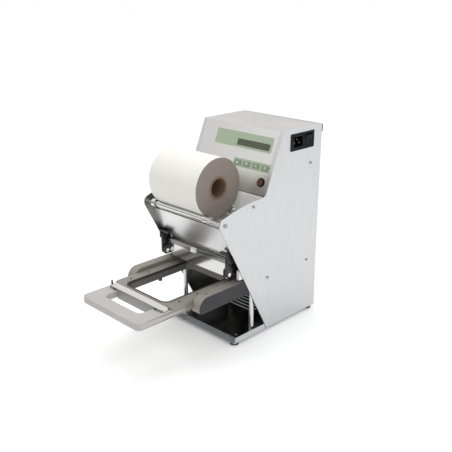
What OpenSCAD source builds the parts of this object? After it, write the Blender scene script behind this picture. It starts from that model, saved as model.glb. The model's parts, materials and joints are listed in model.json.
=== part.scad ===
/* [Casing] */
// Width over the two side plates
casing_w = 220; // [200:1:240]
// Height of the side plates
casing_h = 405; // [400:1:420]
// Thickness of the stainless side plates
plate_t = 2.5; // [2:0.1:3]
// Inward flange of the side plates
flange_w = 7.6; // [6:0.1:10]
// Depth from the side plates' reference line to their back edge
plate_back = 166; // [160:1:180]
// Lean of the control panel from the vertical, in degrees
panel_lean = 22.9; // [20:0.1:26]
// Length of the control panel down its slope
panel_len = 127; // [120:0.5:130]
// Slope of the side plates' lower front edge from the vertical, in degrees
front_rake = 28.3; // [26:0.1:30]
// Radius of the side plates' nose
nose_r = 14; // [12:0.5:16]
// Height of the rubber feet
foot_h = 6; // [4:0.5:10]
// Height of the base pan's rim
pan_h = 12; // [10:0.5:14]
// Reach of the base pan in front of the side plates
pan_front = 88; // [80:1:95]

/* [Film] */
// Radius of the full film roll
roll_r = 58.5; // [40:0.5:58.5]
// Sideways offset of the film roll from the middle
roll_x = -12.5; // [-12.5:0.5:-12.5]
// Length of the film roll
roll_len = 136; // [100:1:136]
// Radius of the hole in the paper core
core_hole_r = 18.5; // [12:0.5:20]
// Wall of the paper core
core_wall = 4; // [3:0.5:6]
// Radius of the front guide roller
front_roller_r = 5.5; // [5:0.1:6]
// Radius of the rear support roller
rear_roller_r = 8; // [6:0.5:8]

/* [Drawer] */
// Travel of the drawer
drawer_travel = 150; // [120:1:150]
// Half width of the drawer plate
drawer_half_w = 86; // [80:0.5:86]
// Thickness of the drawer plate
drawer_t = 13; // [10:0.5:13]
// Height of the tray ring above the drawer plate
ring_h = 5; // [3:0.5:5]
// Half width of the tray opening
opening_half_w = 60; // [40:1:62]

/* [Sealing head] */
// Stroke of the sealing head
stroke = 11; // [8:0.5:11]
// Lead of the lifting spindle
spindle_lead = 8; // [4:1:12]
// Radius of the guide columns
column_r = 5; // [4:0.5:5]
// Length of the rocker arms between their pins
rocker_len = 40; // [36:1:42]

/* [Controls] */
// Radius of the push button's cap
button_r = 6.5; // [5:0.5:7]
// Number of keys in the key strip
key_count = 4; // [4:1:4]

/* [Hidden] */
$fn = 64;

steel = "gainsboro";
bright = "whitesmoke";
black = [0.09, 0.09, 0.1];
dark = [0.3, 0.3, 0.31];
taupe = [0.56, 0.53, 0.49];
pale_grey = [0.74, 0.73, 0.71];
panel_green = [0.72, 0.82, 0.68];

// The casing frame has X across, Y to the back and Z up, with Z 0 on the underside of the base pan
half_w = casing_w / 2;
inner_x = half_w - plate_t;
clear = 0.3;

// Control panel: foot of the slope, its direction and its top
panel_foot = [-3, casing_h - panel_len * cos(panel_lean)];
panel_top = [panel_foot.x + panel_len * sin(panel_lean), casing_h];

// Nose of the side plates, which is also the axis of the front shaft
nose = [-112.5, 255];
crest_y = -10;
crest_drop = 285.5;
crest_r = (pow(crest_y - nose.x, 2) + pow(crest_drop - nose.y, 2) - pow(nose_r, 2))
    / (2 * (crest_drop - nose.y - nose_r));
crest_c = [crest_y, crest_drop - crest_r];
nose_touch = atan2(nose.y - crest_c.y, nose.x - crest_c.x);
rake_touch = [nose.x - nose_r * cos(front_rake), nose.y - nose_r * sin(front_rake)];
rake_foot = [rake_touch.x + rake_touch.y * tan(front_rake), 0];

// Film roll, resting on the front guide roller and the rear support roller
rear_axis_y = -36;
roll_y = -76.5;
roll_z = nose.y + sqrt(pow(roll_r + front_roller_r + clear, 2) - pow(roll_y - nose.x, 2));
rear_axis_z = roll_z - sqrt(pow(roll_r + rear_roller_r + clear, 2) - pow(rear_axis_y - roll_y, 2));
core_x = around(roll_x, roll_len / 2 + 0.6);
shaft_r = 4;
front_roller_x = around(roll_x, roll_len / 2 + 0.5);
collar_w = 10;
collar_r = 8.5;
bore_gap = 0.05;

// Drawer
drawer_top = 114;
drawer_z = drawer_top - drawer_t;
ring_top = drawer_top + ring_h;
drawer_front = -303;
drawer_rear = -20;
bar_y = [-244, -227];
opening_y = [-219, -50];
slot_half = 54;
slot_y = [-275, -237.5];

// Places of the feet
foot_x = half_w - 10.5;
foot_ys = [-pan_front + 11.5, plate_back - 12];
// Cheeks that guide the drawer
cheek_x = [drawer_half_w + 0.6, inner_x - 0.1];
cheek_y = [-178, 125];
cheek_z = 95;
cheek_top = 126;
tongue_z = [107, 111];
tongue_w = 4;
tongue_gap = 0.6;
seal_w = 3;
liner_t = 1.6;

// Guide columns and the bridge on top of them
column_x = 99;
column_ys = [-27, 112];
bridge_z = [226, 234];
pan_t = 1.6;

// Sealing head, at the top of its stroke
head_z = ring_top + 1 + stroke;
heater_half = 73;
heater_y = [-76, 106];
heater_t = 10;
insulation_t = 9;
carriage_z = head_z + heater_t + insulation_t;
carriage_t = 8;
cover_y = -82;
cover_half = 86;
cover_bottom = head_z + 4;
spindle_y = 30;
spindle_r = 5;

// Film guide bar under the chute's crease
guide_bar_z = [163.5, 172.7];

// Rockers and links that carry the front of the head
rocker_pivot = [-48.5, 171.5];
rocker_tilt = asin(stroke / 2 / rocker_len);
rocker_pin = rocker_pivot + rocker_len * [-cos(rocker_tilt), sin(rocker_tilt)];
link_len = 31;
link_foot = rocker_pin - [0, link_len];
pin_r = 3;
link_x = [91.6, 96];
rocker_x = [97, 101];
ear_x = [86, 90];

// Parts on the panel, as distances across and up the slope
window_x = [1, 87];
window_s = [85, 98.5];
overlay_x = [-61, 92];
overlay_s = [81, 112];
key_strip_x = [5, 101];
key_strip_s = [43, 60];
key_pitch = 24.5;
key_size = [17, 10];
button_at = [89, 23];

// Inlet module on the right plate
inlet_y = [68, 140];
inlet_z = [363, 397];
socket_y = [76, 103];
socket_z = [370, 390.5];
switch_y = [111, 134];
switch_z = [368.5, 392];
switch_tilt = 8;

// Distance from the casing frame to the middle of the whole depth
rear_lip = 3.5;
casing_shift = -(drawer_front + plate_back + rear_lip) / 2;

module in_casing() {
    translate([0, casing_shift, foot_h]) children();
}

// Extrudes an outline drawn in Y and Z from x0 to x1
module along_x(x0, x1) {
    translate([x0, 0, 0]) rotate([90, 0, 90]) linear_extrude(x1 - x0) children();
}

module rod_x(x0, x1, at, r) {
    translate([x0, at.x, at.y]) rotate([0, 90, 0]) cylinder(r = r, h = x1 - x0);
}

module post(x, y, z0, z1, r) {
    translate([x, y, z0]) cylinder(r = r, h = z1 - z0);
}

module box(x, y, z) {
    translate([x[0], y[0], z[0]]) cube([x[1] - x[0], y[1] - y[0], z[1] - z[0]]);
}

module mirrored() {
    mirror([1, 0, 0]) children();
}

module both_sides() {
    children();
    mirrored() children();
}

// Stands a shape on the control panel at a place across it and up its slope
module on_panel(x, s, lift = 0) {
    translate([0, panel_foot.x, panel_foot.y]) rotate([90 - panel_lean, 0, 0])
        translate([x, s, lift]) children();
}

module rounded_rect(x, y, r) {
    translate([x[0] + r, y[0]]) square([x[1] - x[0] - 2 * r, y[1] - y[0]]);
    translate([x[0], y[0] + r]) square([x[1] - x[0], y[1] - y[0] - 2 * r]);
    for (cx = [x[0] + r, x[1] - r], cy = [y[0] + r, y[1] - r]) translate([cx, cy]) circle(r);
}

// Bar of width w from a to b with round ends, which stand a hair proud of its sides
module strip(a, b, w) {
    body_w = w - 0.2;
    translate(a) circle(w / 2);
    translate(b) circle(w / 2);
    translate(a) rotate(atan2(b.y - a.y, b.x - a.x)) translate([0, -body_w / 2])
        square([norm(b - a), body_w]);
}

function across(a, b) = [a.y - b.y, b.x - a.x] / norm(b - a);

// Direction of the edge at a bend, long enough to keep the sheet's thickness on both sides of it
function miter(points, i) = let(
    last = len(points) - 1,
    before = across(points[max(i - 1, 0)], points[max(i, 1)]),
    after = across(points[min(i, last - 1)], points[min(i + 1, last)])
) (before + after) / (1 + before * after);

module bent_strip(points, t) {
    last = len(points) - 1;
    polygon(concat(
        [for (i = [0:last]) points[i] + miter(points, i) * t / 2],
        [for (i = [last:-1:0]) points[i] - miter(points, i) * t / 2]
    ));
}

function off(n, a, b) = [n + a, n + b];

function around(n, r) = [n - r, n + r];

function turn(a) = [cos(a), sin(a)];

function arc(c, r, a0, a1, n) = [for (i = [0:n]) c + r * turn(a0 + (a1 - a0) * i / n)];

module plate_outline() {
    polygon(concat(
        [[plate_back, 0], [plate_back, casing_h], panel_top, panel_foot],
        arc(crest_c, crest_r, 90, nose_touch, 18),
        [nose, rake_touch, rake_foot]
    ));
    translate(nose) circle(nose_r);
}

// Folded edge of a side plate, along the panel, the top and the back
module flange_outline(t) {
    lean = [t / cos(panel_lean), 0];
    polygon([
        panel_foot, panel_top, [plate_back, casing_h], [plate_back, pan_h + 2],
        [plate_back - t, pan_h + 2], [plate_back - t, casing_h - t],
        panel_top + lean - [t * tan(panel_lean), t], panel_foot + lean
    ]);
}

module side_plate() {
    difference() {
        along_x(inner_x, half_w) plate_outline();
        rod_x(inner_x - 1, half_w + 1, nose, shaft_r + bore_gap);
    }
    along_x(half_w - flange_w, inner_x) flange_outline(2);
}

module left_side_plate() {
    color(steel) in_casing() mirrored() side_plate();
}

module right_side_plate() {
    color(steel) in_casing() difference() {
        side_plate();
        box([inner_x - 1, half_w + 1], inlet_y + [2, -2], inlet_z + [2, -2]);
    }
}

module base_pan() {
    rim_t = 1.6;
    pan_w = inner_x - 0.2;
    side_y = rake_foot.x - pan_h * tan(front_rake) - clear;
    back_y = plate_back - 2.4;
    color(bright) in_casing() difference() {
        union() {
            box([-half_w, half_w], [-pan_front + 1, side_y], [0, pan_t]);
            box([-pan_w, pan_w], [side_y - 5, back_y], [0, pan_t]);
            along_x(-half_w, half_w) polygon([
                [-pan_front, 0], [-pan_front + 4.5, pan_h], [-pan_front + 6.2, pan_h], [-pan_front + 2, 0]
            ]);
            both_sides() {
                box([half_w - rim_t, half_w], [-pan_front + 4, side_y], [pan_t / 2, pan_h]);
                box([pan_w - rim_t, pan_w], [side_y + 1, back_y], [pan_t / 2, pan_h]);
            }
        }
        both_sides() post(87, -59, -1, 3, 2.2);
        for (i = [0:6]) box([-40, 40], [40 + i * 12, 44 + i * 12], [-1, 3]);
    }
}

module top_cover() {
    t = 2;
    w = half_w - flange_w - 0.3;
    lean = [t / cos(panel_lean), 0];
    color(steel) in_casing() difference() {
        union() {
            along_x(-w, w) polygon([
                panel_foot, panel_top, [plate_back - 2.2, casing_h], [plate_back - 2.2, casing_h - t],
                panel_top + lean - [t * tan(panel_lean), t], panel_foot + lean
            ]);
            box([-w, w], off(panel_foot.x, 0, 10), off(panel_foot.y, -t, 0));
        }
        on_panel(button_at.x, button_at.y, -5) cylinder(r = button_r + 0.3, h = 10);
    }
}

module rear_panel() {
    panel_w = half_w - flange_w - clear;
    color(black) in_casing() {
        difference() {
            box([-panel_w, panel_w], off(plate_back, -2.1, 0), [pan_h + 2.4, casing_h - 2.4]);
            for (i = [0:9], side = [-1, 1]) {
                box(around(side * 45, 32), off(plate_back, -3, 1), off(250 + i * 9, 0, 4));
                box(around(side * 45, 32), off(plate_back, -3, 1), off(140 + i * 9, 0, 4));
            }
        }
        box([-half_w + 0.3, half_w - 0.3], off(plate_back, 0, rear_lip), [casing_h - 16, casing_h - 0.4]);
    }
}

module film_cradle() {
    color(steel) in_casing() along_x(-inner_x + 0.2, inner_x - 0.2) bent_strip([
        panel_foot + [-1.5, -3], [-22, 243], [-101, 241]
    ], 1.5);
}

module front_chute() {
    notch_w = inner_x - 86;
    color(steel) in_casing() difference() {
        along_x(-inner_x + 0.2, inner_x - 0.2) bent_strip([
            [-103.5, 240], [-76.5, 173.5], [-66, 173.5]
        ], 1.5);
        both_sides() box([inner_x - notch_w, inner_x + 1], [-90, -60], [160, 192]);
    }
}

module panel_overlay() {
    t = 0.5;
    color(panel_green) in_casing() {
        on_panel(0, 0) linear_extrude(t) difference() {
            rounded_rect(overlay_x, overlay_s, 3);
            translate([window_x[0], window_s[0]])
                square([window_x[1] - window_x[0], window_s[1] - window_s[0]]);
        }
        on_panel(0, 0) linear_extrude(t) difference() {
            rounded_rect(key_strip_x, key_strip_s, 2);
            for (i = [0:key_count - 1]) key_outline(i, 0.3);
        }
    }
}

module key_outline(i, gap) {
    mid = [(key_strip_x[0] + key_strip_x[1]) / 2 + (i - (key_count - 1) / 2) * key_pitch,
        (key_strip_s[0] + key_strip_s[1]) / 2];
    rounded_rect(around(mid.x, key_size.x / 2 + gap), around(mid.y, key_size.y / 2 + gap), 1.5);
}

module key(i) {
    color([0.55, 0.68, 0.53]) in_casing() on_panel(0, 0, 0.7) linear_extrude(0.9) key_outline(i, 0);
}

module key_1() {
    key(0);
}

module key_2() {
    key(1);
}

module key_3() {
    key(2);
}

module key_4() {
    key(3);
}

module display_window() {
    color([0.42, 0.47, 0.36]) in_casing() on_panel(0, 0) linear_extrude(0.8)
        translate([window_x[0] + 0.2, window_s[0] + 0.2])
        square([window_x[1] - window_x[0] - 0.4, window_s[1] - window_s[0] - 0.4]);
}

module button_bezel() {
    color(black) in_casing() difference() {
        on_panel(button_at.x, button_at.y) cylinder(r = button_r + 2.5, h = 1.8);
        on_panel(button_at.x, button_at.y, -1) cylinder(r = button_r + 0.3, h = 5);
    }
}

module push_button() {
    color([0.5, 0.25, 0.18]) in_casing() {
        on_panel(button_at.x, button_at.y, -8) cylinder(r = button_r - 1, h = 8);
        on_panel(button_at.x, button_at.y) cylinder(r = button_r, h = 3.6);
    }
}

module control_board() {
    color("seagreen") in_casing() {
        on_panel(-80, 46, -14) cube([160, 70, 1.6]);
        on_panel(-60, 78, -12.4) cube([130, 26, 5]);
        on_panel(-70, 50, -12.4) cube([34, 14, 8]);
        for (i = [0:3]) on_panel(20 + i * 14, 56, -12.4) cylinder(r = 4, h = 7);
    }
}

module power_supply() {
    r = 33;
    hole_r = 12;
    h = 30;
    color("goldenrod") in_casing() translate([-62, 70, bridge_z[1]]) difference() {
        union() {
            cylinder(r = r - 4, h = h);
            translate([0, 0, 4]) cylinder(r = r, h = h - 8);
        }
        translate([0, 0, -1]) cylinder(r = hole_r, h = h + 2);
    }
}

module inlet_housing() {
    depth = 28;
    face = 1.5;
    color(black) in_casing() difference() {
        union() {
            box([half_w, half_w + face], inlet_y, inlet_z);
            box([half_w - depth, half_w], inlet_y + [2.3, -2.3], inlet_z + [2.3, -2.3]);
        }
        box([half_w - 15, half_w + 3], socket_y, socket_z);
        box([half_w - 10, half_w + 3], switch_y, switch_z);
    }
}

module inlet_pins() {
    mid_y = (socket_y[0] + socket_y[1]) / 2;
    mid_z = (socket_z[0] + socket_z[1]) / 2;
    color("gold") in_casing() {
        box([half_w - 15, half_w - 3], around(mid_y, 2), around(mid_z + 4, 0.8));
        for (side = [-1, 1])
            box([half_w - 15, half_w - 3], around(mid_y + side * 7, 1), around(mid_z - 3, 2));
    }
}

module rocker_switch() {
    mid_y = (switch_y[0] + switch_y[1]) / 2;
    mid_z = (switch_z[0] + switch_z[1]) / 2;
    half_l = 10.4;
    color(dark) in_casing() translate([half_w - 3, mid_y, mid_z]) rotate([0, switch_tilt, 0])
        rotate([90, 0, 0]) {
            linear_extrude(21, center = true) polygon([
                [-3, -6], [2.5, -half_l], [6.2, -half_l], [4, 0], [6.2, half_l], [2.5, half_l], [-3, 6]
            ]);
            cylinder(r = 2, h = 22.4, center = true);
        }
}

module rubber_feet() {
    color(black) in_casing() for (x = [-foot_x, foot_x], y = foot_ys) {
        post(x, y, -foot_h, -2, 9);
        post(x, y, -2, 0, 7.5);
    }
}

module screw_head_x(at, r, h) {
    difference() {
        rod_x(half_w, half_w + h, at, r);
        rod_x(half_w + h - 1, half_w + h + 1, at, r * 0.42);
    }
}

module casing_screws() {
    color(bright) in_casing() {
        both_sides() {
            for (at = [[-36.5, 274], [133.5, 117], [7.7, 115], [133.5, 330]]) screw_head_x(at, 3, 1.5);
            screw_head_x(nose, 4.6, 1.5);
            for (y = [-150, -110]) post(96, y, cheek_top, cheek_top + 1, 2.4);
        }
    }
}

module front_shaft() {
    color(bright) in_casing() rod_x(-half_w, half_w, nose, shaft_r);
}

module rear_shaft() {
    color(bright) in_casing() rod_x(-inner_x, inner_x, [rear_axis_y, rear_axis_z], shaft_r);
}

module front_roller() {
    color(bright) in_casing() difference() {
        rod_x(front_roller_x[0], front_roller_x[1], nose, front_roller_r);
        rod_x(front_roller_x[0] - 1, front_roller_x[1] + 1, nose, shaft_r + bore_gap);
    }
}

module rear_roller() {
    color(bright) in_casing() difference() {
        rod_x(roll_x - 72, roll_x + 72, [rear_axis_y, rear_axis_z], rear_roller_r);
        rod_x(roll_x - 73, roll_x + 73, [rear_axis_y, rear_axis_z], shaft_r + bore_gap);
    }
}

module collar(x0) {
    color(bright) in_casing() {
        difference() {
            rod_x(x0, x0 + collar_w, nose, collar_r);
            rod_x(x0 - 1, x0 + collar_w + 1, nose, shaft_r + bore_gap);
            translate([x0 + collar_w / 2, nose.x, nose.y]) rotate([60, 0, 0]) cylinder(r = 1.6, h = 12);
        }
        translate([x0 + collar_w / 2, nose.x, nose.y]) rotate([60, 0, 0]) translate([0, 0, 4.2])
            cylinder(r = 1.55, h = 3.2);
    }
}

module left_collar() {
    collar(front_roller_x[0] - 3 - collar_w);
}

module right_collar() {
    collar(front_roller_x[1] + 1.5);
}

module film_roll() {
    color("white") in_casing() difference() {
        rod_x(core_x[0] + 0.6, core_x[1] - 0.6, [roll_y, roll_z], roll_r);
        rod_x(core_x[0], core_x[1], [roll_y, roll_z], core_hole_r + core_wall + 0.05);
    }
}

module roll_core() {
    color("burlywood") in_casing() difference() {
        rod_x(core_x[0], core_x[1], [roll_y, roll_z], core_hole_r + core_wall);
        rod_x(core_x[0] - 1, core_x[1] + 1, [roll_y, roll_z], core_hole_r);
    }
}

// Outline of a cheek: a bar with a rounded nose at its front end
module cheek_outline(top, r) {
    low_r = 8;
    polygon(concat(
        [[cheek_y[1], cheek_z], [cheek_y[1], top]],
        arc([cheek_y[0] + r, top - r], r, 90, 180, 12),
        arc([cheek_y[0] + low_r, cheek_z + low_r], low_r, 180, 270, 6)
    ));
}

module cheek() {
    difference() {
        along_x(cheek_x[0], cheek_x[1]) cheek_outline(cheek_top, 22);
        box([cheek_x[0] - 1, drawer_half_w + tongue_w + tongue_gap], cheek_y + [-1, 1],
            tongue_z + tongue_gap * [-1, 1]);
        for (y = column_ys) post(column_x, y, cheek_z - 1, cheek_top + 1, column_r + bore_gap);
    }
}

module left_cheek() {
    color(taupe) in_casing() mirrored() cheek();
}

module right_cheek() {
    color(taupe) in_casing() cheek();
}

module front_columns() {
    color(bright) in_casing() both_sides() post(column_x, column_ys[0], pan_t, bridge_z[0], column_r);
}

module rear_columns() {
    color(bright) in_casing() both_sides() post(column_x, column_ys[1], pan_t, bridge_z[0], column_r);
}

module top_bridge() {
    color(dark) in_casing() difference() {
        union() {
            box([-inner_x, inner_x], [-35, 122], bridge_z);
            both_sides() box([inner_x - 3, inner_x], [-35, 122], bridge_z + [-14, -8]);
        }
        post(0, spindle_y, bridge_z[0] - 1, bridge_z[1] + 1, spindle_r + bore_gap);
        for (x = [-62, 62]) post(x, 70, bridge_z[0] - 1, bridge_z[1] + 1, 9);
    }
}

module gear_motor() {
    box_h = 22;
    can_h = 46;
    color(dark) in_casing() translate([0, spindle_y, bridge_z[1]]) {
        translate([-21, -19, 0]) cube([42, 42, box_h]);
        translate([0, 0, box_h]) cylinder(r = 18, h = can_h);
        translate([0, 0, box_h + can_h]) cylinder(r = 7, h = 3);
    }
}

module lift_spindle() {
    turn_h = 2;
    z0 = carriage_z + 1;
    color(bright) in_casing() {
        post(0, spindle_y, z0, bridge_z[1] - 0.4, spindle_r);
        post(0, spindle_y, bridge_z[0] - turn_h - 3, bridge_z[0] - turn_h, 8);
    }
}

module spindle_nut() {
    color("goldenrod") in_casing() difference() {
        union() {
            post(0, spindle_y, carriage_z + carriage_t, carriage_z + carriage_t + 4, 15);
            post(0, spindle_y, carriage_z + carriage_t, carriage_z + carriage_t + 18, 10);
        }
        post(0, spindle_y, carriage_z, carriage_z + 40, spindle_r + bore_gap);
    }
}

module head_carriage() {
    ear_half = 13;
    ear_reach = inner_x - 0.7;
    color(dark) in_casing() difference() {
        union() {
            box([-84, 84], [-70, 124], off(carriage_z, 0, carriage_t));
            for (y = column_ys)
                box([-ear_reach, ear_reach], around(y, ear_half), off(carriage_z, 0, carriage_t));
        }
        for (x = column_x * [-1, 1], y = column_ys)
            post(x, y, carriage_z - 1, carriage_z + carriage_t + 1, 7);
        post(0, spindle_y, carriage_z - 1, carriage_z + carriage_t + 1, 7);
    }
}

module carriage_bushings() {
    color("peru") in_casing() for (x = column_x * [-1, 1], y = column_ys) difference() {
        union() {
            post(x, y, carriage_z - 4, carriage_z + carriage_t + 6, 6.95);
            post(x, y, carriage_z + carriage_t, carriage_z + carriage_t + 2, 7.8);
        }
        post(x, y, carriage_z - 10, carriage_z + 40, column_r + bore_gap);
    }
}

module insulation_plate() {
    color("bisque") in_casing() box([-70, 70], heater_y + [4, -4], off(head_z + heater_t, 0, insulation_t));
}

module heater_plate() {
    color("silver") in_casing() difference() {
        box(heater_half * [-1, 1], heater_y, off(head_z, 0, heater_t));
        for (x = [-40, 0, 40]) translate([x, heater_y[0] - 1, head_z + 6]) rotate([-90, 0, 0])
            cylinder(r = 2.6, h = 120);
    }
}

module knife_frame() {
    t = 3.4;
    gap = 0.4;
    h = heater_t + insulation_t;
    color(black) in_casing() difference() {
        box((heater_half + gap + t) * [-1, 1], heater_y + (gap + t) * [-1, 1], off(head_z, 0, h));
        box((heater_half + gap) * [-1, 1], heater_y + gap * [-1, 1], off(head_z, -1, h + 1));
    }
}

module head_cover() {
    t = 1.8;
    top = guide_bar_z[0] - 1.1;
    lid_z = off(carriage_z + carriage_t, 0, t);
    side_y = -60;
    corner_r = 19;
    color(steel) in_casing() {
        translate([0, cover_y + t, 0]) rotate([90, 0, 0]) linear_extrude(t) {
            difference() {
                translate([-cover_half, cover_bottom]) square([2 * cover_half, top - cover_bottom]);
                for (side = [-1, 1]) translate([side * cover_half, cover_bottom])
                    square(2 * corner_r, center = true);
            }
            for (side = [-1, 1]) intersection() {
                translate([side * (cover_half - corner_r), cover_bottom + corner_r]) circle(corner_r);
                translate([side * cover_half, cover_bottom]) square(2 * corner_r, center = true);
            }
        }
        both_sides() box([cover_half - t, cover_half], [cover_y + 0.5, side_y],
            [cover_bottom + corner_r, lid_z[1]]);
        box([-cover_half, cover_half], [cover_y + 0.5, -56], lid_z);
    }
}

module head_ears() {
    y = [-95, -62];
    z = [link_foot.y - 8, carriage_z + carriage_t];
    color(black) in_casing() both_sides() difference() {
        along_x(ear_x[0], ear_x[1]) rounded_rect(y, z, 6);
        rod_x(ear_x[0] - 1, ear_x[1] + 1, link_foot, pin_r);
    }
}

module ear_pins() {
    color(bright) in_casing() both_sides() {
        rod_x(ear_x[0], link_x[1] + 0.4, link_foot, pin_r);
        rod_x(ear_x[0] - 1.6, ear_x[0], link_foot, pin_r + 1.6);
        rod_x(link_x[1] + 0.4, link_x[1] + 0.9, link_foot, pin_r + 0.8);
        for (at = [[-90, 139.5], [-70, 150], [-70, 139.5]]) rod_x(ear_x[1], ear_x[1] + 1.2, at, 2.2);
    }
}

module rocker() {
    tab_half = 7;
    root_x = rocker_x[0] + 1;
    difference() {
        along_x(rocker_x[0], rocker_x[1]) {
            strip(rocker_pivot, rocker_pin, 15);
            translate([rocker_pin.x - tab_half, rocker_pin.y]) square([2 * tab_half, 13]);
        }
        rod_x(rocker_x[0] - 1, rocker_x[1] + 1, rocker_pivot, pin_r + 1 + bore_gap);
    }
    box([76, root_x], off(rocker_pin.x, 1 - tab_half, 2), off(rocker_pin.y, 9, 12.5));
    rod_x(link_x[0] - 1, root_x, rocker_pin, pin_r);
    rod_x(link_x[0] - 2.6, link_x[0] - 1, rocker_pin, pin_r + 1.6);
}

module rocker_studs() {
    color(bright) in_casing() both_sides() {
        rod_x(rocker_x[0] - 0.5, inner_x, rocker_pivot, pin_r + 1);
        rod_x(rocker_x[0] - 2, rocker_x[0] - 0.5, rocker_pivot, pin_r + 2.5);
    }
}

module left_rocker() {
    color(black) in_casing() mirrored() rocker();
}

module right_rocker() {
    color(black) in_casing() rocker();
}

// The lower hole is a short slot, so that the pin clears it over the rocker's small arc
module link() {
    slot_play = 1.2;
    difference() {
        along_x(link_x[0], link_x[1]) strip(link_foot, rocker_pin, 15);
        rod_x(link_x[0] - 1, link_x[1] + 1, rocker_pin, pin_r + bore_gap);
        along_x(link_x[0] - 1, link_x[1] + 1)
            strip(link_foot - [slot_play, 0], link_foot + [slot_play, 0], 2 * pin_r + 0.6);
    }
}

module left_link() {
    color(black) in_casing() mirrored() link();
}

module right_link() {
    color(black) in_casing() link();
}

module film_guide_bar() {
    color(dark) in_casing() difference() {
        box([-85, 85], [-84, -74], guide_bar_z);
        box([-80, 80], [-80, -73], [guide_bar_z[0] - 1, guide_bar_z[1] - 2]);
    }
}

module film_sensor() {
    color("white") in_casing() difference() {
        box([-12, 1], [-90, -84], guide_bar_z);
        translate([-5.5, -91, 166]) rotate([-90, 0, 0]) cylinder(r = 1.5, h = 4);
    }
}

module link_guides() {
    color("white") in_casing() both_sides() box([100, inner_x - 0.1], [-72, -44], [132, 151]);
}

module drawer_sensor() {
    y0 = drawer_rear + drawer_travel + 2.5;
    switch_axis_z = drawer_top - 6;
    color(dark) in_casing() {
        translate([-70, y0, switch_axis_z]) rotate([-90, 0, 0]) cylinder(r = 4, h = 28);
        difference() {
            box([-78, -62], off(y0, 10, 13), [pan_t, drawer_top]);
            translate([-70, y0, switch_axis_z]) rotate([-90, 0, 0]) cylinder(r = 4, h = 28);
        }
        box([-78, -62], off(y0, 13, 23), [pan_t, pan_t + 2]);
    }
}

// Outline of the tray opening, grown by a margin
module opening_outline(margin) {
    rounded_rect((opening_half_w + margin) * [-1, 1], opening_y + margin * [-1, 1], 14 + margin);
}

module drawer_plate() {
    front_r = 10;
    color(pale_grey) in_casing() {
        translate([0, 0, drawer_z]) linear_extrude(drawer_t) difference() {
            rounded_rect(drawer_half_w * [-1, 1], [drawer_front, drawer_rear], front_r);
            rounded_rect(slot_half * [-1, 1], slot_y, 12);
            translate([-slot_half, slot_y[1] - 13]) square([2 * slot_half, 13]);
            opening_outline(liner_t);
        }
        both_sides() box([drawer_half_w, drawer_half_w + tongue_w], [-190, drawer_rear - 20], tongue_z);
    }
}

module cross_bar() {
    color("lightgray") in_casing() {
        translate([0, 0, drawer_top]) linear_extrude(ring_h + 0.5) rounded_rect([-81, 81], bar_y, 7);
        box([-slot_half + 0.3, slot_half - 0.3], [bar_y[0], slot_y[1] - 0.2], [98, drawer_top]);
    }
}

module tray_ring() {
    color(taupe) in_casing() translate([0, 0, drawer_top]) linear_extrude(ring_h) difference() {
        rounded_rect((drawer_half_w - 0.5) * [-1, 1], [bar_y[1] + 1, drawer_rear - 4], 6);
        opening_outline(seal_w);
    }
}

module edge_seal() {
    color(black) in_casing() difference() {
        union() {
            translate([0, 0, drawer_top]) linear_extrude(ring_h + 0.5) opening_outline(seal_w);
            translate([0, 0, drawer_z + 1]) linear_extrude(drawer_t) opening_outline(liner_t);
        }
        translate([0, 0, drawer_z]) linear_extrude(drawer_t + ring_h + 2) opening_outline(0);
    }
}

module drawer_screws() {
    color(black) in_casing() {
        for (x = [-61, 61]) translate([x, bar_y[0], drawer_top + 2.4]) rotate([90, 0, 0])
            cylinder(r = 1.9, h = 1.2);
        for (x = [-72, 72], y = [-196, -150, -60]) post(x, y, ring_top, ring_top + 0.8, 2);
        post(-77, bar_y[0] + 6, ring_top + 0.5, ring_top + 8.5, 1.8);
        post(-66, -126, drawer_z - 6, drawer_z, 4);
    }
}

base_pan();
left_side_plate();
right_side_plate();
top_cover();
rear_panel();
film_cradle();
front_chute();
panel_overlay();
display_window();
control_board();
power_supply();
inlet_housing();
inlet_pins();
button_bezel();
rubber_feet();
casing_screws();
front_shaft();
rear_shaft();
left_cheek();
right_cheek();
front_columns();
rear_columns();
top_bridge();
gear_motor();
film_guide_bar();
film_sensor();
link_guides();
rocker_studs();
drawer_sensor();
head_carriage();
carriage_bushings();
insulation_plate();
heater_plate();
knife_frame();
head_cover();
spindle_nut();
head_ears();
ear_pins();
lift_spindle();
left_rocker();
right_rocker();
left_link();
right_link();
drawer_plate();
cross_bar();
tray_ring();
edge_seal();
drawer_screws();
film_roll();
roll_core();
front_roller();
rear_roller();
left_collar();
right_collar();
rocker_switch();
push_button();
key_1();
key_2();
key_3();
key_4();
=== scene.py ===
# %% [markdown]
# # A tabletop cup sealing machine
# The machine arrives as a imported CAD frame: sixty separate parts that already stand in the right
# place. This lesson gives them their looks. Each step says what a part or finish is on the real
# machine, how it could be made in Blender, and why it is made the way shown.

# %% Load the frame
import json
from math import cos, pi, radians, sin

import bpy
from mathutils import Matrix, Quaternion, Vector

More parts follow.
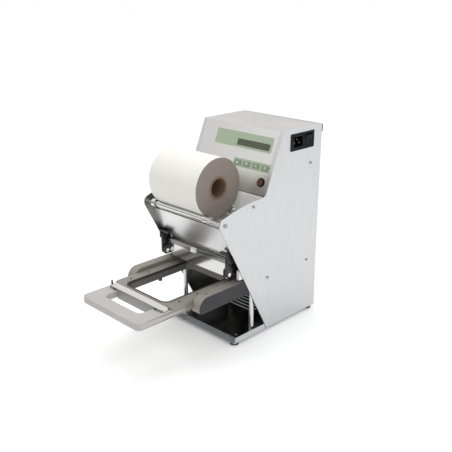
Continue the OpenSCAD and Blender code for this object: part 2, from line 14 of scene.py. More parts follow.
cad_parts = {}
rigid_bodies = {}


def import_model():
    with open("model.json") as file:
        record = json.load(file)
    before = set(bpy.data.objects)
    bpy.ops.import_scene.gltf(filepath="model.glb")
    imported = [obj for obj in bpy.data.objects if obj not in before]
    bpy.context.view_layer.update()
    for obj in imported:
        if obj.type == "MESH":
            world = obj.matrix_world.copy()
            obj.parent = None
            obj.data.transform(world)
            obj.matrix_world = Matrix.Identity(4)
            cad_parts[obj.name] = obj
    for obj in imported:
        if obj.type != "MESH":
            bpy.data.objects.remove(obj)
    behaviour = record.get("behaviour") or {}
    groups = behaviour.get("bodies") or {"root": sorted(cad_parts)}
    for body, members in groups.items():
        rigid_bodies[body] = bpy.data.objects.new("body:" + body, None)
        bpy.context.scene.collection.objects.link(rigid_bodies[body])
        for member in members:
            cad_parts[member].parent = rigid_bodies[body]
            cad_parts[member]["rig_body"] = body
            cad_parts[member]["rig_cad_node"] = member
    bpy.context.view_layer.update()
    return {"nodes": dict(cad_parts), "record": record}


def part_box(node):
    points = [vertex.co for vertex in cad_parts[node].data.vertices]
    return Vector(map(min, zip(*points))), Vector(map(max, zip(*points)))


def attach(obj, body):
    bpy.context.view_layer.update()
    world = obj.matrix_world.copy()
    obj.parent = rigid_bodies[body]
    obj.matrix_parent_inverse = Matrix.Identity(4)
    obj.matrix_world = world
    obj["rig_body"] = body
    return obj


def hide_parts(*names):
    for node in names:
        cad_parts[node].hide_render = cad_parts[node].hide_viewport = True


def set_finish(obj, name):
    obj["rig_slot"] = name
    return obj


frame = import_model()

for plain in list(bpy.data.materials):
    bpy.data.materials.remove(plain)
print("parts in the frame:", len(frame["nodes"]))

# %% [markdown]
# ## Camera
# The machine is seen from its front right corner, a little from above. A camera could be turned
# by hand until it fits, but a place, an aim point and a lens say the same thing exactly. The
# small roll is the tilt of a hand held level by eye.

# %% Camera
CAMERA_PLACE = Vector((0.9277, -0.8702, 0.6776))
CAMERA_AIM = Vector((0.0, 0.06675, 0.2048))
CAMERA_ROLL = radians(0.057)
LENS_MM = 53.76
SENSOR_MM = 36.0
NEAR, FAR = 0.05, 40.0

lens = bpy.data.cameras.new("studio_camera")
lens.lens = LENS_MM
lens.sensor_width = SENSOR_MM
lens.clip_start, lens.clip_end = NEAR, FAR
camera = bpy.data.objects.new("studio_camera", lens)
bpy.context.scene.collection.objects.link(camera)
camera.location = CAMERA_PLACE
aim = (CAMERA_AIM - CAMERA_PLACE).to_track_quat("-Z", "Y")
camera.rotation_mode = "QUATERNION"
camera.rotation_quaternion = aim @ Quaternion((0, 0, 1), CAMERA_ROLL)
bpy.context.scene.camera = camera
print("distance to the aim point:", round((CAMERA_AIM - CAMERA_PLACE).length, 3))

# %% [markdown]
# ## Studio
# Stainless steel shows nothing but its surroundings, so the room matters more than the lamps. A
# white floor and a pale sky give an even, bright render, and large soft lamps draw broad
# gradients on the plates. A low dark card in front, which the camera itself doesn't see, gives
# the steel and the front faces something to be dark with.

# %% Studio
def area_lamp(name, place, aim_at, size, power, tint=(1, 1, 1)):
    """A rectangular soft lamp aimed at a point."""
    lamp = bpy.data.lights.new(name, "AREA")
    lamp.shape = "RECTANGLE"
    lamp.size, lamp.size_y = size
    lamp.energy = power
    lamp.color = tint
    holder = bpy.data.objects.new(name, lamp)
    bpy.context.scene.collection.objects.link(holder)
    holder.location = place
    direction = Vector(aim_at) - Vector(place)
    holder.rotation_euler = direction.to_track_quat("-Z", "Y").to_euler()
    return holder


MIDDLE = (0.0, 0.05, 0.2)
FLOOR_SIZE = 24
FLOOR_GAP = 0.0005
CARD_PLACE = (-0.7, -1.6, 0.31)
CARD_TURN = radians(-18)
CARD_SIZE = (2.6, 0.62, 1)
area_lamp("top_softbox", (-0.3, 0.2, 1.8), MIDDLE, (1.2, 1.2), 9)
area_lamp("right_softbox", (1.6, 0.9, 1.0), MIDDLE, (0.9, 1.4), 4, (0.93, 0.97, 1.0))
area_lamp("front_softbox", (-0.8, -1.5, 2.0), MIDDLE, (0.8, 0.8), 3)

world = bpy.data.worlds.new("studio_sky")
bpy.context.scene.world = world
world.use_nodes = True
backdrop = world.node_tree.nodes["Background"]
backdrop.inputs["Color"].default_value = (1.0, 1.0, 1.0, 1)
backdrop.inputs["Strength"].default_value = 1.0
bpy.context.scene.view_settings.view_transform = "Standard"


def nothing_selected():
    """Leaves object mode with nothing selected, so that an operator meets only its own piece."""
    if bpy.context.mode != "OBJECT":
        bpy.ops.object.mode_set(mode="OBJECT")
    bpy.ops.object.select_all(action="DESELECT")


nothing_selected()
bpy.ops.mesh.primitive_plane_add(size=FLOOR_SIZE, location=(0, 0, -FLOOR_GAP))
floor = bpy.context.object
floor.name = "floor"
bpy.ops.mesh.primitive_plane_add(size=1, location=CARD_PLACE, rotation=(pi / 2, 0, CARD_TURN))
card = bpy.context.object
card.name = "dark_card"
card.scale = CARD_SIZE
card.visible_camera = False

# %% [markdown]
# ## Materials as small recipes
# Every finish is a Principled shader with a few nodes in front of it. A material could be painted
# on an image, but procedural patterns on Object coordinates keep their real size on every part
# and need no unwrapping. One helper starts a recipe, and short helpers add a pattern, a colour
# ramp, a roughness range and a bump.

# %% Recipe helpers
PATTERN_LOW, PATTERN_HIGH = 0.3, 0.7


class Recipe:
    """A material being built: its node tree, its shader and its object coordinates."""

    def __init__(self, name, base, rough, metal=0.0, **constants):
        self.material = bpy.data.materials.new(name)
        self.material.use_nodes = True
        self.tree = self.material.node_tree
        self.shader = self.tree.nodes["Principled BSDF"]
        self.shader.inputs["Base Color"].default_value = (*base, 1)
        self.shader.inputs["Roughness"].default_value = rough
        self.shader.inputs["Metallic"].default_value = metal
        for socket, value in constants.items():
            self.shader.inputs[socket.replace("_", " ")].default_value = value
        self.base = base
        self.coordinates = self.node("ShaderNodeTexCoord").outputs["Object"]

    def node(self, kind, **settings):
        made = self.tree.nodes.new(kind)
        for key, value in settings.items():
            setattr(made, key, value)
        return made

    def link(self, out, into):
        self.tree.links.new(out, into)

    def mapped(self, scale, turn=(0, 0, 0)):
        """Object coordinates stretched by a scale per axis."""
        mapping = self.node("ShaderNodeMapping")
        mapping.inputs["Scale"].default_value = scale
        mapping.inputs["Rotation"].default_value = turn
        self.link(self.coordinates, mapping.inputs["Vector"])
        return mapping.outputs["Vector"]

    def noise(self, scale, stretch=(1, 1, 1), detail=3.0, roughness=0.5):
        pattern = self.node("ShaderNodeTexNoise")
        pattern.inputs["Scale"].default_value = scale
        pattern.inputs["Detail"].default_value = detail
        pattern.inputs["Roughness"].default_value = roughness
        self.link(self.mapped(stretch), pattern.inputs["Vector"])
        return pattern.outputs["Fac"]

    def ramp(self, factor, stops):
        """A colour ramp through (place, grey or colour) stops."""
        node = self.node("ShaderNodeValToRGB")
        marks = node.color_ramp.elements
        while len(marks) < len(stops):
            marks.new(0.5)
        for mark, (place, value) in zip(marks, stops):
            mark.position = place
            colour = value if isinstance(value, tuple) else (value, value, value)
            mark.color = (*colour, 1)
        self.link(factor, node.inputs["Fac"])
        return node.outputs["Color"]

    def shades(self, factor, amount, low=PATTERN_LOW, high=PATTERN_HIGH):
        """The base colour from a little darker to a little lighter, by a pattern."""
        dark = tuple(c * (1 - amount) for c in self.base)
        light = tuple(min(1.0, c * (1 + amount)) for c in self.base)
        out = self.ramp(factor, [(low, dark), (high, light)])
        self.link(out, self.shader.inputs["Base Color"])
        return out

    def rough_range(self, factor, low, high):
        """The roughness from low to high, by a pattern."""
        node = self.node("ShaderNodeMapRange")
        node.inputs["From Min"].default_value = PATTERN_LOW
        node.inputs["From Max"].default_value = PATTERN_HIGH
        node.inputs["To Min"].default_value = low
        node.inputs["To Max"].default_value = high
        self.link(factor, node.inputs["Value"])
        self.link(node.outputs["Result"], self.shader.inputs["Roughness"])

    def bump(self, factor, strength, depth):
        """A shallow relief from a pattern."""
        node = self.node("ShaderNodeBump")
        node.inputs["Strength"].default_value = strength
        node.inputs["Distance"].default_value = depth
        self.link(factor, node.inputs["Height"])
        self.link(node.outputs["Normal"], self.shader.inputs["Normal"])


MATERIALS = {}


def keep(recipe):
    """Files a finished recipe under its name."""
    MATERIALS[recipe.material.name] = recipe.material
    return recipe.material


# %% [markdown]
# ## Stainless steel
# The casing is ground stainless sheet: fine parallel scratches run down the plates, so the noise
# is stretched until it becomes lines. The scratches change the shade and tilt the surface a
# hair, and a slow cloud varies the roughness, which smears reflections. The pan and the head
# cover are the same metal with a far lower roughness, and bars are polished all round.

# %% Stainless steel
def brushed(name, base, stretch, rough, contrast=0.04, metal=1.0):
    """Ground steel whose scratches run along the axis with the small stretch."""
    recipe = Recipe(name, base, sum(rough) / 2, metal, Anisotropic=0.35)
    grain = recipe.noise(900, stretch, detail=2.0)
    cloud = recipe.noise(9, (1, 1, 1), detail=4.0)
    recipe.shades(grain, contrast, 0.35, 0.65)
    recipe.rough_range(cloud, *rough)
    recipe.bump(grain, 0.05, 0.0002)
    return keep(recipe)


DOWN = (1.0, 1.0, 0.02)
ACROSS = (0.02, 1.0, 1.0)
brushed("side_plate_steel", (0.575, 0.58, 0.585), DOWN, (0.34, 0.40), 0.05)
# Painted shade: the plates' inner faces get this darker copy of the plate steel, for the shade inside
# the machine. The rear panel's inner face also takes it in place of its black coat.
brushed("inner_face_steel", (0.40, 0.40, 0.39), DOWN, (0.26, 0.32), 0.05)
# Painted light and shade: the top cover is one sheet. Its front panel faces are painted lighter, and
# the rest of it darker, for how the lamps fall on them.
brushed("cover_steel", (0.52, 0.515, 0.505), DOWN, (0.34, 0.40), 0.05)
brushed("panel_steel", (0.63, 0.62, 0.605), DOWN, (0.30, 0.36), 0.05)
# Painted light: the cradle's steel is made near white so that it stays bright in the shadow of the
# roll.
brushed("cradle_steel", (0.95, 0.95, 0.93), ACROSS, (0.55, 0.6), 0.05, 0.75)
brushed("chute_steel", (0.70, 0.70, 0.70), ACROSS, (0.26, 0.32), 0.03)
brushed("cover_mirror", (0.66, 0.66, 0.65), ACROSS, (0.12, 0.16), 0.02)
# Painted shade: the pan's floor keeps this darker copy of the steel, for its place under the machine.
# Its rim and walls get the lighter rim steel.
brushed("pan_steel", (0.36, 0.365, 0.38), ACROSS, (0.14, 0.18), 0.02)
brushed("rim_steel", (0.56, 0.57, 0.58), ACROSS, (0.18, 0.24), 0.02)
brushed("bridge_steel", (0.12, 0.12, 0.12), ACROSS, (0.32, 0.42), 0.05)
brushed("guide_steel", (0.24, 0.24, 0.22), ACROSS, (0.18, 0.26), 0.04)


def polished(name, base, rough):
    """Turned and polished bar: even, with the faintest wiping marks in its gloss."""
    recipe = Recipe(name, base, rough, 1.0)
    wiped = recipe.noise(60, (1, 1, 0.3), detail=4.0)
    recipe.rough_range(wiped, rough * 0.7, rough * 1.5)
    recipe.shades(wiped, 0.02)
    return keep(recipe)


polished("chromed_bar", (0.66, 0.66, 0.66), 0.09)
polished("zinc_plated", (0.36, 0.36, 0.36), 0.24)
polished("turned_bronze", (0.42, 0.30, 0.15), 0.30)
polished("pin_metal", (0.16, 0.15, 0.13), 0.35)
polished("milled_aluminium", (0.40, 0.40, 0.40), 0.30)
print("metals:", len(MATERIALS))

# %% [markdown]
# ## Plastics and coatings
# The drawer and its cheeks are moulded in a grey that is a little rough to the touch: a fine
# grain in the bump and a slow cloud in the colour. The linkage is black coated steel, and the
# outer sides of the cheeks are glossy and nearly black. One function makes them all, because
# they differ only in shade, gloss and grain.

# %% Plastics and coatings
def moulded(name, base, rough, grain=1400, depth=0.00012, cloud=0.05, **constants):
    """Moulded or coated surface with a fine grain and slow changes of shade."""
    recipe = Recipe(name, base, rough, **constants)
    slow = recipe.noise(14, detail=3.0)
    fine = recipe.noise(grain, detail=2.0)
    recipe.shades(slow, cloud)
    recipe.rough_range(slow, rough * 0.9, min(1.0, rough * 1.12))
    recipe.bump(fine, 0.12, depth)
    return keep(recipe)


moulded("cheek_grey", (0.25, 0.232, 0.205), 0.5)
moulded("cheek_side", (0.030, 0.029, 0.033), 0.16, cloud=0.3, Specular_IOR_Level=0.25)
# Painted shade: the tray ring, and the drawer's faces beside it, get this darker grey than the drawer
# for the shade they stand in.
moulded("tray_grey", (0.235, 0.215, 0.19), 0.42)
moulded("drawer_grey", (0.42, 0.405, 0.385), 0.46)
moulded("bar_grey", (0.56, 0.55, 0.53), 0.36)
moulded("bar_shade", (0.25, 0.25, 0.245), 0.36)
moulded("black_coating", (0.018, 0.018, 0.02), 0.36)
moulded("foot_rubber", (0.016, 0.016, 0.016), 0.7, grain=700)
moulded("inlet_black", (0.006, 0.006, 0.007), 0.55, Specular_IOR_Level=0.12)
moulded("nylon_white", (0.78, 0.78, 0.76), 0.35, cloud=0.02)
moulded("fibre_board", (0.70, 0.62, 0.48), 0.8, grain=500)
moulded("board_green", (0.02, 0.14, 0.06), 0.35)
moulded("button_brown", (0.10, 0.040, 0.028), 0.25, cloud=0.02)
moulded("panel_green", (0.32, 0.395, 0.28), 0.40, cloud=0.02)
moulded("key_green", (0.19, 0.255, 0.165), 0.40, cloud=0.02)
moulded("print_white", (0.85, 0.87, 0.82), 0.5, cloud=0.01)

# %% [markdown]
# ## Edge seal
# The drawer's opening is lined by a moulding with a black lip on top and a grey wall below. One
# material can do both: the Z of the Object coordinates goes through a narrow Map Range, which is
# nought above the lip's lower edge and one below it, and picks between two colours.

# %% Edge seal
SEAL_LIP = 0.0045
LIP_BLACK = (0.012, 0.012, 0.012)
WALL_GREY = (0.10, 0.092, 0.085)
BLEND = 0.0003
lip_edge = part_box("edge_seal")[1].z - SEAL_LIP
seal = Recipe("seal_rubber", LIP_BLACK, 0.5)
height = seal.node("ShaderNodeSeparateXYZ")
seal.link(seal.coordinates, height.inputs[0])
band = seal.node("ShaderNodeMapRange")
band.inputs["From Min"].default_value = lip_edge - BLEND
band.inputs["From Max"].default_value = lip_edge + BLEND
band.inputs["To Min"].default_value = 1.0
band.inputs["To Max"].default_value = 0.0
seal.link(height.outputs["Z"], band.inputs["Value"])
tones = seal.node("ShaderNodeMix", data_type="RGBA")
tones.inputs["A"].default_value = (*LIP_BLACK, 1)
tones.inputs["B"].default_value = (*WALL_GREY, 1)
seal.link(band.outputs["Result"], tones.inputs["Factor"])
seal.link(tones.outputs["Result"], seal.shader.inputs["Base Color"])
keep(seal)
print("the lip starts at", round(lip_edge, 4))

# %% [markdown]
# ## Wound film and display
# The ends of a wound roll show rings about its axis. They come from the distance to that axis,
# and a one-dimensional noise of that distance gives the edges of the wound layers. The display
# is dark green with a faint grid of character cells, which a brick pattern without offset gives.

# %% Wound film and display
def wound(name, base, node, spacing, contrast, rough):
    """Rings about the axis of a roll that runs along X."""
    low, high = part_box(node)
    centre = (low + high) / 2
    recipe = Recipe(name, base, rough)
    place = recipe.node("ShaderNodeVectorMath", operation="SUBTRACT")
    place.inputs[1].default_value = (0, centre.y, centre.z)
    recipe.link(recipe.coordinates, place.inputs[0])
    flat = recipe.node("ShaderNodeVectorMath", operation="MULTIPLY")
    flat.inputs[1].default_value = (0, 1, 1)
    recipe.link(place.outputs["Vector"], flat.inputs[0])
    length = recipe.node("ShaderNodeVectorMath", operation="LENGTH")
    recipe.link(flat.outputs["Vector"], length.inputs[0])
    rings = recipe.node("ShaderNodeTexNoise", noise_dimensions="1D")
    rings.inputs["Scale"].default_value = 1 / spacing
    rings.inputs["Detail"].default_value = 3.0
    recipe.link(length.outputs["Value"], rings.inputs["W"])
    recipe.shades(rings.outputs["Fac"], contrast)
    recipe.bump(rings.outputs["Fac"], 0.25, 0.0002)
    return keep(recipe)


moulded("film_face", (0.755, 0.74, 0.70), 0.45, grain=300, cloud=0.015)
wound("film_edge", (0.215, 0.178, 0.158), "film_roll", 0.0012, 0.14, 0.6)
wound("core_paper", (0.17, 0.11, 0.065), "film_roll", 0.0008, 0.1, 0.75)

PANEL_TURN = radians(67.1)
CELL_WIDTH, CELL_HEIGHT, CELL_GAP = 0.0052, 0.0062, 0.0005
screen = Recipe("display_glass", (0.06, 0.07, 0.045), 0.35, Specular_IOR_Level=0.3)
cells = screen.node("ShaderNodeTexBrick", offset=0.0)
cells.inputs["Scale"].default_value = 1.0
cells.inputs["Brick Width"].default_value = CELL_WIDTH
cells.inputs["Row Height"].default_value = CELL_HEIGHT
cells.inputs["Mortar Size"].default_value = CELL_GAP
cells.inputs["Color1"].default_value = (0.066, 0.072, 0.046, 1)
cells.inputs["Color2"].default_value = (0.070, 0.076, 0.049, 1)
cells.inputs["Mortar"].default_value = (0.086, 0.096, 0.062, 1)
flatten = screen.node("ShaderNodeMapping")
flatten.inputs["Rotation"].default_value = (-PANEL_TURN, 0, 0)
screen.link(screen.coordinates, flatten.inputs["Vector"])
screen.link(flatten.outputs["Vector"], cells.inputs["Vector"])
screen.link(cells.outputs["Color"], screen.shader.inputs["Base Color"])
keep(screen)

print("cell of the display:", CELL_WIDTH, "by", CELL_HEIGHT)

# %% [markdown]
# ## Floor and card
# The floor is nearly white and glows a very little, so that it stays white where the machine
# shades it. The card is matt black, because only its darkness is wanted.

# %% Floor and card
sweep = Recipe("studio_floor", (0.90, 0.90, 0.90), 0.6, Emission_Strength=0.13)
sweep.shader.inputs["Emission Color"].default_value = (1, 1, 1, 1)
sweep.shades(sweep.noise(0.8, detail=1.0), 0.01)
keep(sweep)
floor.data.materials.append(MATERIALS["studio_floor"])
moulded("card_black", (0.02, 0.02, 0.02), 0.8, grain=20)
card.data.materials.append(MATERIALS["card_black"])
print("finishes:", len(MATERIALS))

# %% [markdown]
# ## Which part has which finish
# A part whose CAD shape is right already only needs its finish. The table below names a finish
# for every node and the slot of the record that it stands for.

# %% Finish of each part
FINISHES = {
    "side_plate_steel": "left_side_plate right_side_plate",
    "cover_steel": "top_cover",
    "cradle_steel": "film_cradle",
    "chute_steel": "front_chute",
    "cover_mirror": "head_cover",
    "pan_steel": "base_pan",
    "guide_steel": "film_guide_bar",
    "pin_metal": "inlet_pins",
    "bridge_steel": "top_bridge gear_motor drawer_sensor knife_frame",
    "chromed_bar": "front_shaft rear_shaft front_columns rear_columns lift_spindle front_roller "
                   "rear_roller rocker_studs ear_pins left_collar right_collar",
    "zinc_plated": "casing_screws",
    "turned_bronze": "carriage_bushings spindle_nut power_supply",
    "milled_aluminium": "head_carriage heater_plate",
    "fibre_board": "insulation_plate",
    "board_green": "control_board",
    "cheek_grey": "left_cheek right_cheek",
    "tray_grey": "tray_ring",
    "drawer_grey": "drawer_plate",
    "bar_grey": "cross_bar",
    "black_coating": "rear_panel head_ears left_rocker right_rocker left_link right_link drawer_screws",
    "seal_rubber": "edge_seal",
    "foot_rubber": "rubber_feet",
    "inlet_black": "inlet_housing button_bezel rocker_switch",
    "nylon_white": "link_guides film_sensor",
    "button_brown": "push_button",
    "panel_green": "panel_overlay",
    "key_green": "key_1 key_2 key_3 key_4",
    "display_glass": "display_window",
    "film_face": "film_roll",
    "core_paper": "roll_core",
}
SLOT_OF = {row["node"]: row["material_slot"] for row in frame["record"]["subparts"]}
BODY_OF = {name: part.parent.name.split(":")[1] for name, part in frame["nodes"].items()}
for finish, names in FINISHES.items():
    for name in names.split():
        part = frame["nodes"][name]
        part.data.materials.clear()
        part.data.materials.append(MATERIALS[finish])
        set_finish(part, SLOT_OF[name])
print("nodes with a finish:", sum(len(names.split()) for names in FINISHES.values()))

# %% [markdown]
# ## Broken edges
# No sheet, casting or moulding has a mathematically sharp edge, and the thin highlight along a
# rounded edge is what makes it look real. The edges could be beveled by hand, but a merged copy
# of the CAD part with a Bevel modifier does the same for a whole list of parts, each with the
# radius that its way of making leaves. Flat faces are first joined by a limited dissolve. The
# drawer plate and the tray ring are left as triangles, because one large face around a hole
# comes out of the bevel with a crease.

# %% Broken edges
def settle(piece, name, node, finish=None):
    """Applies the piece's modifiers and place, and puts it in the machine instead of a node."""
    nothing_selected()
    piece.select_set(True)
    bpy.context.view_layer.objects.active = piece
    for modifier in list(piece.modifiers):
        bpy.ops.object.modifier_apply(modifier=modifier.name)
    bpy.ops.object.transform_apply(location=True, rotation=True, scale=True)
    piece.name = name
    if finish:
        piece.data.materials.clear()
        piece.data.materials.append(MATERIALS[finish])
    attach(piece, BODY_OF[node])
    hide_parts(node)
    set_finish(piece, SLOT_OF[node])
    return piece


MERGE_GAP = 0.00001
FLAT_ANGLE = radians(0.1)
SMOOTH_ANGLE = radians(35)


def even_normals(piece, angle):
    """Smooth shading up to an angle, with large flat faces kept flat."""
    bpy.ops.object.shade_smooth_by_angle(angle=angle)
    weighted = piece.modifiers.new("flat_faces", "WEIGHTED_NORMAL")
    weighted.keep_sharp = True
    weighted.weight = 100
    bpy.ops.object.modifier_apply(modifier=weighted.name)


def softened(node, radius, steps=2, limit=32):
    """A copy of a CAD part with its sharp edges rounded."""
    source = frame["nodes"][node]
    piece = source.copy()
    piece.data = source.data.copy()
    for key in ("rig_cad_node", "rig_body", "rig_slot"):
        if key in piece:
            del piece[key]
    piece.parent = None
    bpy.context.scene.collection.objects.link(piece)
    nothing_selected()
    piece.select_set(True)
    bpy.context.view_layer.objects.active = piece
    bpy.ops.object.mode_set(mode="EDIT")
    bpy.ops.mesh.select_all(action="SELECT")
    bpy.ops.mesh.remove_doubles(threshold=MERGE_GAP)
    if node not in KEEP_TRIANGLES:
        bpy.ops.mesh.dissolve_limited(angle_limit=FLAT_ANGLE)
    bpy.ops.object.mode_set(mode="OBJECT")
    bevel = piece.modifiers.new("broken_edge", "BEVEL")
    bevel.width = radius
    bevel.segments = steps
    bevel.limit_method = "ANGLE"
    bevel.angle_limit = radians(limit)
    bevel.use_clamp_overlap = True
    settle(piece, node + "_finished", node)
    even_normals(piece, SMOOTH_ANGLE)
    return piece


KEEP_TRIANGLES = ("drawer_plate", "tray_ring")
EDGE_RADII = {
    0.0008: "left_side_plate right_side_plate top_cover",
    0.0004: "base_pan front_chute film_cradle head_cover rear_panel",
    0.0016: "left_cheek right_cheek drawer_plate cross_bar",
    0.0007: "tray_ring link_guides inlet_housing button_bezel rocker_switch",
    0.0006: "left_rocker right_rocker left_link right_link head_ears film_guide_bar film_sensor",
    0.0003: "key_1 key_2 key_3 key_4 head_carriage heater_plate knife_frame top_bridge "
            "left_collar right_collar casing_screws rubber_feet",
}
soft = [softened(name, radius) for radius, names in EDGE_RADII.items() for name in names.split()]
print("parts with broken edges:", len(soft))

# %% [markdown]
# ## Film roll
# A roll of sealing film is a tight spiral: smooth and white outside, and a grey-brown stack of
# edges at its ends, slightly dished where the layers have crept. Turning an outline about the
# axis gives that shape. The outline starts as a circle primitive whose corners are moved to their
# places, and Spin carries it round.

# %% Film roll
def turned(name, outline, centre, node, finish, steps=96):
    """Turns a closed outline of (place along X, radius) points about an axis along X."""
    nothing_selected()
    bpy.ops.mesh.primitive_circle_add(vertices=len(outline), radius=0.01)
    piece = bpy.context.object
    for corner, (along, radius) in zip(piece.data.vertices, outline):
        corner.co = (along, centre[1], centre[2] + radius)
    bpy.ops.object.mode_set(mode="EDIT")
    bpy.ops.mesh.select_all(action="SELECT")
    bpy.ops.mesh.spin(steps=steps, angle=2 * pi, center=centre, axis=(1, 0, 0))
    bpy.ops.mesh.select_all(action="SELECT")
    bpy.ops.mesh.remove_doubles(threshold=MERGE_GAP / 2)
    bpy.ops.mesh.normals_make_consistent(inside=False)
    bpy.ops.object.mode_set(mode="OBJECT")
    settle(piece, name, node, finish)
    bpy.ops.object.shade_smooth_by_angle(angle=radians(30))
    return piece


def axis_of(node):
    """The middle of a round part that lies along X."""
    low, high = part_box(node)
    return tuple((low + high) / 2)


roll_low, roll_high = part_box("film_roll")
core_low, core_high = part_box("roll_core")
roll_axis = axis_of("film_roll")
roll_radius = (roll_high.z - roll_low.z) / 2
core_radius = (core_high.z - core_low.z) / 2
CORE_WALL = 0.004
DISH = 0.0007
CREEP = 0.4
ROLL_EDGE = 0.0006
CORE_EDGE = 0.0005
OUTER_EDGE = 0.0004
core_bore = core_radius - CORE_WALL
left, right = roll_low.x, roll_high.x
steps_out = [0.0, 0.2, 0.4, 0.6, 0.8, 0.97]
right_end = []
for i, t in enumerate(steps_out):
    along = right - DISH * (1 - t) * (1 + CREEP * (i % 2))
    right_end.append((along, core_radius + t * (roll_radius - core_radius)))
left_end = [(left + (right - along), radius) for along, radius in reversed(right_end)]
rim = [(right - ROLL_EDGE, roll_radius), (left + ROLL_EDGE, roll_radius)]
film = turned("wound_film", right_end + rim + left_end, roll_axis, "film_roll", "film_face")

low_x, high_x = core_low.x, core_high.x
core_outline = [(high_x - OUTER_EDGE, core_radius), (low_x + OUTER_EDGE, core_radius),
                (low_x, core_radius - CORE_EDGE), (low_x, core_bore + CORE_EDGE),
                (low_x + CORE_EDGE, core_bore), (high_x - CORE_EDGE, core_bore),
                (high_x, core_bore + CORE_EDGE), (high_x, core_radius - CORE_EDGE)]
core = turned("paper_core", core_outline, roll_axis, "roll_core", "core_paper")
print("film roll radius:", round(roll_radius, 4), "faces:", len(film.data.polygons))
print("core bore:", round(core_bore, 4), "faces:", len(core.data.polygons))

# %% [markdown]
# ## Printed marks
# A membrane key carries a printed pictogram. Each mark here is a thin plate that lies on its key
# and rides on the key's body, so it goes down with it. The marks are plain ones: two triangles,
# a bar and a ring.

# %% Printed marks
PRINT_T = 0.00012
TO_PANEL = Matrix.Rotation(PANEL_TURN, 4, "X")


def printed(name, outline, hole, place, turn, node, finish):
    """A thin plate with a polygon outline, or a ring of the width given as hole."""
    nothing_selected()
    sides = len(outline)
    bpy.ops.mesh.primitive_circle_add(vertices=sides, radius=0.001)
    piece = bpy.context.object
    for corner, (across, up) in zip(piece.data.vertices, outline):
        corner.co = (across, up, 0)
    bpy.ops.object.mode_set(mode="EDIT")
    bpy.ops.mesh.select_all(action="SELECT")
    bpy.ops.mesh.edge_face_add()
    if hole:
        bpy.ops.mesh.inset(thickness=hole, depth=0)
        bpy.ops.mesh.delete(type="FACE")
    bpy.ops.mesh.select_all(action="SELECT")
    bpy.ops.mesh.normals_make_consistent(inside=False)
    bpy.ops.object.mode_set(mode="OBJECT")
    thick = piece.modifiers.new("print", "SOLIDIFY")
    thick.thickness = PRINT_T
    thick.offset = 0.0
    piece.matrix_world = Matrix.Translation(place) @ turn
    nothing_selected()
    piece.select_set(True)
    bpy.context.view_layer.objects.active = piece
    bpy.ops.object.modifier_apply(modifier=thick.name)
    bpy.ops.object.transform_apply(location=True, rotation=True, scale=True)
    piece.name = name
    piece.data.materials.append(MATERIALS[finish])
    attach(piece, BODY_OF[node])
    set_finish(piece, SLOT_OF[node])
    return piece


def round_outline(radius, sides=32):
    """Corners on a circle."""
    turns = [2 * pi * i / sides for i in range(sides)]
    return [(radius * cos(turn), radius * sin(turn)) for turn in turns]


def key_face(node):
    """The middle of a key's front face, on the sloped panel."""
    low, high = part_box(node)
    middle = (low + high) / 2
    normal = TO_PANEL.to_3x3() @ Vector((0, 0, 1))
    mesh = frame["nodes"][node].data
    proud = max((corner.co - middle).dot(normal) for corner in mesh.vertices)
    return middle + normal * proud


MARK = 0.0021
BAR = 0.0005
RING_WIDTH = 0.0006
KEY_MARKS = {
    "key_1": ([(0, MARK), (-MARK, -MARK), (MARK, -MARK)], 0),
    "key_2": ([(0, -MARK), (MARK, MARK), (-MARK, MARK)], 0),
    "key_3": ([(-MARK, BAR), (-MARK, -BAR), (MARK, -BAR), (MARK, BAR)], 0),
    "key_4": (round_outline(MARK), RING_WIDTH),
}
for node, (outline, hole) in KEY_MARKS.items():
    printed(node + "_mark", outline, hole, key_face(node), TO_PANEL, node, "print_white")
print("key marks:", len(KEY_MARKS))

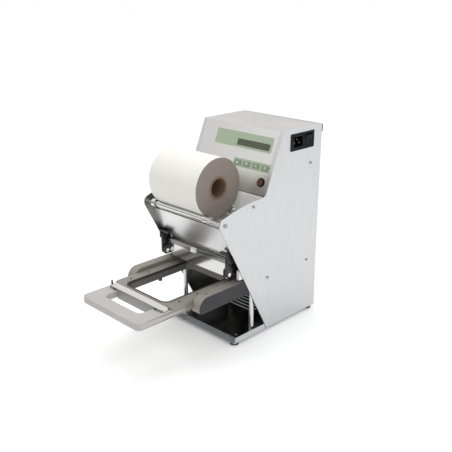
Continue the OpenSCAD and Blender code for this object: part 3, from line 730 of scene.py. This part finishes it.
# %% [markdown]
# ## Two finishes on one part
# One CAD part can need more than one finish: the ends of the roll are edges and its outside is
# film, and the cheeks have a glossy dark side. Other second finishes stand in for light and shade:
# the plates' inner faces get a darker steel as painted shade, the drawer beside its ring gets the
# ring's darker grey as painted shade, the pan's floor stays darker than its rim, and the top
# cover's front panel is painted lighter than the rest of the sheet. The front of the cross bar is
# the same moulding as its top, and gets a darker shade here only because that face stands in
# shadow. The faces are picked by their place and direction, and given a second material slot.

# %% Second finishes
def second_finish(piece, finish, wanted):
    """Gives another finish to the faces for which wanted(centre, normal) is true."""
    piece.data.materials.append(MATERIALS[finish])
    slot_number = len(piece.data.materials) - 1
    changed = 0
    for face in piece.data.polygons:
        if wanted(face.center, face.normal):
            face.material_index = slot_number
            changed += 1
    print(piece.name, "faces with", finish + ":", changed)


def finished(node):
    """The finished copy of a CAD part."""
    return bpy.data.objects[node + "_finished"]


INNER_X = 0.106
RING_LAP = 0.002
PAN_FLOOR_T = 0.003
ring_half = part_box("tray_ring")[1].x - RING_LAP
ring_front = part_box("tray_ring")[0].y
# The plates' inner faces get the darker steel: painted shade.
second_finish(finished("left_side_plate"), "inner_face_steel",
              lambda c, n: n.x > 0.5 and c.x < -INNER_X)
second_finish(finished("right_side_plate"), "inner_face_steel",
              lambda c, n: n.x < -0.5 and c.x > INNER_X)
# The cover's front panel faces get the lighter copy of the same steel: painted light.
second_finish(finished("top_cover"), "panel_steel", lambda c, n: n.y < -0.7)
# The rear panel's inner face gets the same darker steel in place of its black coat.
second_finish(finished("rear_panel"), "inner_face_steel", lambda c, n: n.y < -0.9)
second_finish(finished("left_cheek"), "cheek_side", lambda c, n: n.x < -0.8)
second_finish(finished("right_cheek"), "cheek_side", lambda c, n: n.x > 0.8)
# The drawer's faces beside the ring get the ring's darker grey: painted shade.
second_finish(finished("drawer_plate"), "tray_grey",
              lambda c, n: abs(c.x) > ring_half and c.y > ring_front)
second_finish(finished("cross_bar"), "bar_shade", lambda c, n: n.y < -0.6)
second_finish(film, "film_edge", lambda c, n: abs(n.x) > 0.6)
# The pan's floor stays in the darker steel as painted shade, and its rim and walls get the lighter
# copy.
pan_floor_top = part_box("base_pan")[0].z + PAN_FLOOR_T
second_finish(finished("base_pan"), "rim_steel",
              lambda c, n: c.z > pan_floor_top or abs(n.z) < 0.9)
